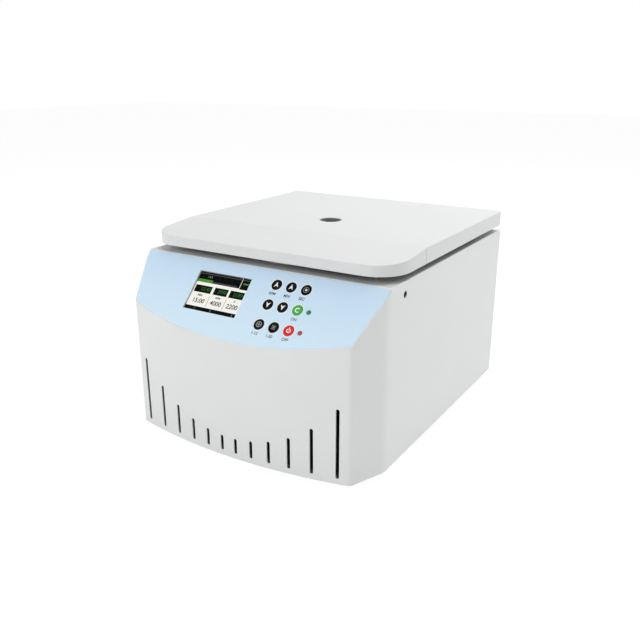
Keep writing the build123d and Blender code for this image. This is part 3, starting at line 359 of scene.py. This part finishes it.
# %% Circuit board
board = finish("glass epoxy circuit board", ("14512F", "1B6239"), 9, (0.3, 0.42), 0.8, 0.01)
tree = board.node_tree
shader = tree.nodes["Principled BSDF"]
TRACK_MM = 3.0
cells = add(
    tree,
    "TexVoronoi",
    {"distance": "CHEBYCHEV", "feature": "F1"},
    {"Vector": add(tree, "TexCoord").outputs["Object"], "Scale": 1 / (TRACK_MM * MM), "Randomness": 0.7},
)
edge = add(
    tree,
    "MapRange",
    inputs={"Value": cells.outputs["Distance"], "From Min": 0.42, "From Max": 0.5},
)
tracks = add(
    tree,
    "Mix",
    {"data_type": "RGBA"},
    {"Factor": edge.outputs[0], 6: linear("14512F"), 7: linear("4E9A5B")},
)
tree.links.new(tracks.outputs[2], shader.inputs["Base Color"])
finishes["circuit_board"] = board
print("tracks", TRACK_MM, "mm apart")

# %% [markdown]
# ## Clear and tinted plastics
# The sight glass is clear: light passes through and is bent, so its shader transmits it. The display's front
# is a smoked sheet that lies on its picture. Bending would show that picture twice, so the sheet is mostly
# open, and a tenth of it is dark gloss. The two small lenses are tinted, and unlit on the real instrument,
# so they get a deep colour and a gloss.

# %% Glass and lenses
clear = {"Transmission_Weight": 1.0, "IOR": 1.49}

finishes |= {
    # Smoked, coated acrylic: it darkens the picture a little and throws back a faint sheen.
    "display_glass": finish(
        "smoked acrylic", ("121416", "17191C"), 20, (0.02, 0.05), 9.0, 0.0002, Alpha=0.1, IOR=1.49
    ),
    # Polished polycarbonate: clear, with a faint green-grey edge.
    "clear_glass": finish("clear polycarbonate", ("EAF1F2", "F4F8F8"), 20, (0.0, 0.05), 2.0, 0.001, **clear),
    # Tinted polycarbonate, moulded as a dome: dark in the middle with a bright rim.
    "green_lens": finish("tinted green polycarbonate", ("2F7A3B", "3B8C47"), 2, (0.15, 0.2), 0.5, 0.002),
    "red_lens": finish("tinted red polycarbonate", ("B03A3C", "BF4A4B"), 2, (0.15, 0.2), 0.5, 0.002),
}
print("finishes in all", len(finishes))

# %% [markdown]
# ## Finishes onto the CAD nodes
# Every node of the CAD model came with a slot named for its material. Each slot takes the finish of the same
# name, and only the lid's steel cover takes its own greyer coat.

# %% Finishes onto the nodes
for node in frame["nodes"].values():
    for holder in node.material_slots:
        holder.material = finishes[holder.material.name.split(".")[0]]
for holder in frame["nodes"]["lid_cover"].material_slots:
    holder.material = finishes["lid_enamel"]
print("finished nodes", len(frame["nodes"]), "with", len(finishes), "finishes")

# %% [markdown]
# ## Finding the sloping panel
# Keys, lights and display sit on a slope, so they are placed along three directions of its own: across, up
# the slope, and straight out of it. A key is pressed straight in, so its joint's axis turned round is the
# way out; across is +X; up the slope is square to both. Reading a node's corners along these gives its
# middle and its reach.

# %% Directions of the slope
pressed = next(j for j in frame["joints"] if j["name"] == "key_start_press")
OUT = -np.array(pressed["axis"], float)
ACROSS = np.array((1.0, 0.0, 0.0))
UP = np.cross(OUT, ACROSS)
SLOPE = np.stack([ACROSS, UP, OUT])


def on_slope(node):
    """Lowest and highest reach of a node along across, up and out: each point times the three directions."""
    mesh = frame["nodes"][node].data
    points = np.zeros(len(mesh.vertices) * 3)
    mesh.vertices.foreach_get("co", points)
    along = points.reshape(-1, 3) @ SLOPE.T
    return along.min(0), along.max(0)


glass_low, glass_high = on_slope("display_glass")
film_top = on_slope("panel_overlay")[1][2]
print("display", np.round((glass_high - glass_low) / MM, 1).tolist(), "mm")
print("slope rises", round(math.degrees(math.asin(UP[2])), 1), "degrees")

# %% [markdown]
# ## Surfaces from numbers
# Turned things such as a key, a lens or a ring are a profile carried round an axis. The profile is a short
# list of radius and height; every point of it is set out at every angle in one array, and neighbouring
# points are joined by four-sided faces. Points that fall together at the seam and at the poles are merged,
# which leaves a closed skin.


# %% Mesh helpers
def piece(name, points, faces, material, body, smooth_deg=40):
    """Makes a mesh of points and faces, closes it where points meet, and lets it ride on a body."""
    mesh = bpy.data.meshes.new(name)
    mesh.from_pydata(points.reshape(-1, 3).tolist(), [], faces)
    skin = bmesh.new()
    skin.from_mesh(mesh)
    bmesh.ops.remove_doubles(skin, verts=skin.verts, dist=1e-6)
    bmesh.ops.recalc_face_normals(skin, faces=skin.faces)
    skin.to_mesh(mesh)
    skin.free()
    if smooth_deg:
        mesh.shade_smooth()
        mesh.set_sharp_from_angle(angle=math.radians(smooth_deg))
    mesh.materials.append(material)
    made = bpy.data.objects.new(name, mesh)
    bpy.context.scene.collection.objects.link(made)
    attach(made, body)
    return made


def grid_faces(rows, columns):
    """Four-sided faces between the neighbours of a grid of points counted row by row."""
    at = np.arange(rows * columns).reshape(rows, columns)
    quads = np.stack([at[:-1, :-1], at[:-1, 1:], at[1:, 1:], at[1:, :-1]], axis=-1)
    return quads.reshape(-1, 4).tolist()


def turned(profile, origin, axes, steps=64):
    """A profile carried round: origin + radius (cos t, sin t) along two axes + height along the third."""
    radius, rise = np.array(profile, float).T * MM
    angle = np.linspace(0, 2 * np.pi, steps + 1)
    round_x = radius[:, None] * np.cos(angle)
    round_y = radius[:, None] * np.sin(angle)
    high = np.broadcast_to(rise[:, None], round_x.shape)
    points = np.stack([round_x, round_y, high], axis=-1) @ axes + origin
    return points, grid_faces(len(profile), steps + 1)


def arc(start, end, bulge, steps=6):
    """A rounded corner between two profile points, bent towards a third: a quadratic curve."""
    t = np.linspace(0, 1, steps)[:, None]
    bend = (1 - t) ** 2 * np.array(start) + 2 * t * (1 - t) * np.array(bulge) + t**2 * np.array(end)
    return bend.tolist()


print("a grid of 3 by 4 points has", len(grid_faces(3, 4)), "faces")

# %% [markdown]
# ## Keys
# Each key is a moulded cap that stands a millimetre out of the film. Its top is dished for the fingertip and
# its rim is rounded, which gives the bright ring seen on every key. The profile runs from the foot behind
# the steel, up the side, over the rim and down into the dish. The caps stand for the CAD keys.

# %% Key caps
KEY_RADIUS = 7.0
KEY_FOOT = 1.2
KEY_FOOT_HEIGHT = 0.9
KEY_DISH = 0.35
KEY_ROUND = 0.5

KEY_BODIES = sorted(n for n in frame["nodes"] if n.startswith("key_"))
KEY_FINISH = {key: "black_key" for key in KEY_BODIES} | {"key_start": "green_key", "key_stop": "red_key"}
key_middle = {}
for key in KEY_BODIES:
    low, high = on_slope(key)
    deep = (low[2] - high[2]) / MM
    middle = (low + high) / 2
    rim = KEY_RADIUS - KEY_ROUND
    dish = np.linspace(rim, 0, 9)
    profile = [(0, deep), (KEY_RADIUS + KEY_FOOT, deep), (KEY_RADIUS + KEY_FOOT, deep + KEY_FOOT_HEIGHT)]
    profile += [(KEY_RADIUS, deep + KEY_FOOT_HEIGHT)]
    profile += arc((KEY_RADIUS, -KEY_ROUND), (rim, 0), (KEY_RADIUS, 0))
    profile += [(r, -KEY_DISH * (1 - (r / rim) ** 2) ** 0.7) for r in dish[1:]]
    top = np.array([middle[0], middle[1], high[2]])
    key_middle[key] = top
    kind = KEY_FINISH[key]
    points, faces = turned(profile, top @ SLOPE, SLOPE)
    cap = piece(key.replace("key_", "") + "_cap", points, faces, finishes[kind], key)
    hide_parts(key)
print("keys", len(key_middle), "standing", round((top[2] - film_top) / MM, 2), "mm above the film")

# %% [markdown]
# ## Signs on the keys
# The signs are printed thick enough to feel. Each is an outline cut from a thin sheet: the outline is set out
# at two heights with a wall between them, so even a small arrow is a closed body. Arrows raise and lower a
# value, a dot in a ring is the short pulse, a ring open at one side starts, and a ring with a bar through it
# stops. The other signs are a rotor seen from above and a list of lines. Each rides on its own key, so it
# goes down with it.


# %% Outlines
def cards(outlines, low, high, origin):
    """Thin bodies from outlines in mm: each outline at two heights, and the wall between them."""
    points, faces = [], []
    for outline in outlines:
        flat = np.array(outline, float)
        count, first = len(flat), sum(len(p) for p in points)
        ends = [np.column_stack([flat, np.full(count, h)]) for h in (low, high)]
        points += ends
        ring = np.arange(count)
        following = np.roll(ring, -1)
        wall = np.stack([ring, following, following + count, ring + count], axis=-1) + first
        faces += wall.tolist() + [(ring[::-1] + first).tolist(), (ring + count + first).tolist()]
    return np.concatenate(points) * MM @ SLOPE + origin, faces


BAND_STEPS = 28


def band(inner, outer, start_deg, end_deg):
    """A part of a ring: the outer radius from one angle to the other, and the inner radius back again."""
    angle = np.radians(np.linspace(start_deg, end_deg, BAND_STEPS))
    turns = np.stack([np.cos(angle), np.sin(angle)], axis=-1)
    return np.concatenate([outer * turns, inner * turns[::-1]])


def bar(x0, x1, y0, y1):
    """A rectangle between two corners."""
    return np.array([(x0, y0), (x1, y0), (x1, y1), (x0, y1)], float)


print("a band has", len(band(1, 2, 0, 90)), "points")

# %% Signs
SIGN_LOW = -0.5
SIGN_HIGH = -0.2
PULSE_HIGH = -0.14  # the ring round the dot stands nearer the rim, where the dish is shallower
arrow = np.array([(0, 4.0), (3.1, -3.3), (0, -1.2), (-3.1, -3.3)])
dot = band(0, 1.5, 0, 360)[:BAND_STEPS]
rotor_sign = [band(3.0, 3.9, 0, 180), band(3.0, 3.9, 180, 360), bar(-0.9, 0.9, -0.9, 0.9)]
rotor_sign += [bar(-0.5, 0.5, y, y + 1.3) for y in (1.3, -2.6)]
rotor_sign += [bar(x, x + 1.3, -0.5, 0.5) for x in (1.3, -2.6)]
signs = {
    "key_speed_up": [arrow],
    "key_time_up": [arrow],
    "key_speed_down": [arrow * (1, -1)],
    "key_time_down": [arrow * (1, -1)],
    "key_pulse": [dot],
    "key_start": [band(2.0, 3.3, 42, 318)],
    "key_stop": [band(1.8, 3.0, -230, 50), bar(-0.6, 0.6, 0.6, 4.2)],
    "key_rotor": rotor_sign,
    "key_program": [bar(-2.6, 2.6, y - 0.45, y + 0.45) for y in (-1.9, 0, 1.9)],
}
white_ink = finish("thick white screen ink", ("EDEFEF", "F6F7F7"), 3, (0.5, 0.6), 0.5, 0.003)
grey_ink = finish("thick grey screen ink", ("8C8F8F", "9C9F9F"), 3, (0.5, 0.6), 0.5, 0.003)
for key, outlines in signs.items():
    points, faces = cards(outlines, SIGN_LOW, SIGN_HIGH, key_middle[key] @ SLOPE)
    ink = grey_ink if key in ("key_rotor", "key_program") else white_ink
    piece(key.replace("key_", "") + "_sign", points, faces, ink, key, smooth_deg=0)
halves = [band(3.3, 3.8, start, start + 180) for start in (0, 180)]
points, faces = cards(halves, SIGN_LOW, PULSE_HIGH, key_middle["key_pulse"] @ SLOPE)
piece("pulse_ring", points, faces, grey_ink, "key_pulse", smooth_deg=0)
print("signs", len(signs), "and the ring of the pulse key")

# %% [markdown]
# ## Lights
# The two indicator lights are moulded lenses. A dome bends the studio light into one bright spot, so their
# profile is a quarter of an ellipse over a straight stem. They stand for the plain CAD lenses.

# %% Indicator lenses
LENS_RADIUS = 3.0
LENS_CROWN = 0.9
for node, kind in (("run_light", "green_lens"), ("stop_light", "red_lens")):
    low, high = on_slope(node)
    top = np.array([*(low[:2] + high[:2]) / 2, high[2]])
    swing = np.linspace(0, np.pi / 2, 10)
    crown = np.stack([LENS_RADIUS * np.cos(swing), LENS_CROWN * (np.sin(swing) - 1)], axis=-1)
    deep = (low[2] - high[2]) / MM
    profile = [(0, deep), (LENS_RADIUS, deep), *crown.tolist()]
    points, faces = turned(profile, top @ SLOPE, SLOPE, 40)
    lens = piece(node + "_lens", points, faces, finishes[kind], "housing")
    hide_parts(node)
    print(node, "at", np.round(top[:2] / MM, 1).tolist())

# %% [markdown]
# ## Print on the film
# A pale ring lies on the film round each key, and short legends stand under them. Lettering is made from
# Blender's own text, turned into a mesh while it still lies flat at the origin, and only then carried to the
# slope.
# The legends are plain words of any instrument: units, numbers, ON and OFF.


# %% Lettering
BOLD = 0.12  # mm that each stroke grows to either side


def lettered(name, lines, origin, thick, material, body):
    """One piece from lines of (text, across, up, size) in mm, each a flat text mesh middled on its place."""
    points, faces = [], []
    for text, across, up, size in lines:
        curve = bpy.data.curves.new("line", "FONT")
        curve.body = text
        curve.size = size
        curve.extrude = thick / 2
        curve.offset = BOLD
        curve.resolution_u = 3
        curve.align_x = "CENTER"
        curve.align_y = "CENTER"
        holder = bpy.data.objects.new("line", curve)
        bpy.context.scene.collection.objects.link(holder)
        shape = holder.evaluated_get(bpy.context.evaluated_depsgraph_get()).to_mesh()
        flat = np.zeros(len(shape.vertices) * 3)
        shape.vertices.foreach_get("co", flat)
        first = sum(len(p) for p in points)
        faces += [[v + first for v in face.vertices] for face in shape.polygons]
        points.append(flat.reshape(-1, 3) + (across, up, thick / 2))
        bpy.data.objects.remove(holder)
        bpy.data.curves.remove(curve)
    placed = np.concatenate(points) * MM @ SLOPE + origin
    return piece(name, placed, faces, material, body, smooth_deg=0)


print("letters grow by", BOLD, "mm")

# %% Rings and legends
INK = 0.03
pale_ring_colour = finish("pale screen ink", ("F4F8FB", "FBFCFD"), 3, (0.4, 0.5), 0.5, 0.002)
legend_ink = finish("grey screen ink", ("3F4A54", "4A555F"), 3, (0.45, 0.55), 0.5, 0.002)

RING_INNER = 7.32
RING_OUTER = 8.2
LEGEND_SIZE = 5.2

ring_points, ring_faces = [], []
ring_profile = [(RING_INNER, 0), (RING_OUTER, 0), (RING_OUTER, INK), (RING_INNER, INK), (RING_INNER, 0)]
for key in KEY_BODIES:
    base = np.array([*key_middle[key][:2], film_top])
    points, faces = turned(ring_profile, base @ SLOPE, SLOPE, 48)
    first = sum(p.size // 3 for p in ring_points)
    ring_points.append(points.reshape(-1, 3))
    ring_faces += [[v + first for v in face] for face in faces]
piece("key_rings", np.concatenate(ring_points), ring_faces, pale_ring_colour, "housing", smooth_deg=0)

legends = {
    "key_speed_up": ("RPM", -1.0, -12.6),
    "key_time_up": ("MIN", -1.0, -12.6),
    "key_pulse": ("SEC", -1.0, -12.6),
    "key_start": ("ON", 0, -12.4),
    "key_rotor": ("1-12", -1.0, -12.0),
    "key_program": ("1-20", -1.0, -12.0),
    "key_stop": ("OFF", 0, -12.0),
}
lines = [
    (text, key_middle[key][0] / MM + across, key_middle[key][1] / MM + up, LEGEND_SIZE)
    for key, (text, across, up) in legends.items()
]
lettered("key_legends", lines, np.array([0, 0, film_top]) @ SLOPE, INK, legend_ink, "housing")
print("legends", len(lines))

# %% [markdown]
# ## The picture on the display
# A liquid crystal display is lit from behind, so its picture is made of thin sheets that give off light,
# lying in the display module under the clear front. The sheets are stacked: a white field, black bars and
# windows over it, then digits. Each kind of sheet is one piece with one material. Its glow is as strong as
# the sheet looks bright, and the field's is a little over one, because the smoked front takes some of it.

# %% Display sheets
centre = (glass_low + glass_high) / 2
seat = np.array([centre[0], centre[1], glass_low[2]]) @ SLOPE
wide, high = (glass_high - glass_low)[:2] / MM / 2

FIELD_LAYER = (-0.9, -0.8)  # mm under the display's front
BAR_LAYER = (-0.8, -0.7)
MARK_LAYER = (-0.7, -0.62)


def lit(name, code, strength):
    """A sheet of the display: nearly black by daylight, and giving off its own colour."""
    glow = {"Emission_Color": linear(code), "Emission_Strength": strength, "Specular_IOR_Level": 0.0}
    return finish(name, ("0A0A0A", "0C0C0C"), 6, (0.6, 0.7), 0.4, 0.001, **glow)


windows = [bar(left, right, -1.6, 8.6) for left, right in ((-39.6, -12.6), (-8.4, 13.2), (16.6, 38.6))]
dividers = [bar(x, x + 0.5, -19.6, -4.6) for x in (-10.8, 15.4)]
sheets = {
    "display_field": (("F8F6EE", 1.18), FIELD_LAYER, [bar(-wide, wide, -high, high)]),
    "display_bars": (
        ("0C0F0E", 0.3),
        BAR_LAYER,
        [bar(-wide, 26.2, 13.2, high), bar(27.0, wide, 12.2, high), bar(-wide, wide, -high, -21.6), *windows],
    ),
    "display_green": (
        ("57B13C", 0.85),
        MARK_LAYER,
        [bar(-40.6, -17.0, 13.6, 17.4), bar(29.8, 38.4, 19.6, 21.2)],
    ),
    "display_grey": (
        ("8B908E", 0.7),
        MARK_LAYER,
        [bar(-16.4, 22.0, 14.6, 15.2), bar(-40.0, 40.0, 25.4, 25.9), *dividers],
    ),
}
for name, ((code, strength), (low, top), outlines) in sheets.items():
    points, faces = cards(outlines, low, top, seat)
    material = lit(name.replace("_", " "), code, strength)
    piece(name, points, faces, material, "housing", smooth_deg=0)
print("display sheets", len(sheets), "on a field of", round(2 * wide, 1), "by", round(2 * high, 1), "mm")

# %% Display digits
DIGIT_THICK = 0.06
writing = {
    "display_set_values": (
        ("26292A", 0.5),
        [("15:00", -25.2, -13.6, 8.8), ("4000", 2.8, -13.6, 8.8), ("2200", 28.6, -13.6, 8.8)],
    ),
    "display_captions": (
        ("6C7072", 0.6),
        [("MIN", -26.4, -5.6, 4.0), ("RPM", 2.4, -5.6, 4.0), ("G", 29.2, -5.6, 4.0)],
    ),
    "display_run_values": (
        ("3F9A3C", 0.5),
        [("12:40", -22.0, 3.4, 7.4), ("3990", 5.0, 3.4, 7.4), ("2189", 29.6, 3.4, 7.4)],
    ),
    "display_marks": (
        ("B9BDBC", 0.6),
        [(text, across, -24.8, 3.6) for text, across in (("1", -26.0), ("2", 0.0), ("3", 34.0))]
        + [("1 2 3", -24.0, 21.6, 3.6)],
    ),
}
origin = seat + OUT * MARK_LAYER[1] * MM
for name, ((code, strength), lines) in writing.items():
    material = lit(name.replace("_", " "), code, strength)
    lettered(name, lines, origin, DIGIT_THICK, material, "housing")
print("lines on the display", sum(len(lines) for _, lines in writing.values()))
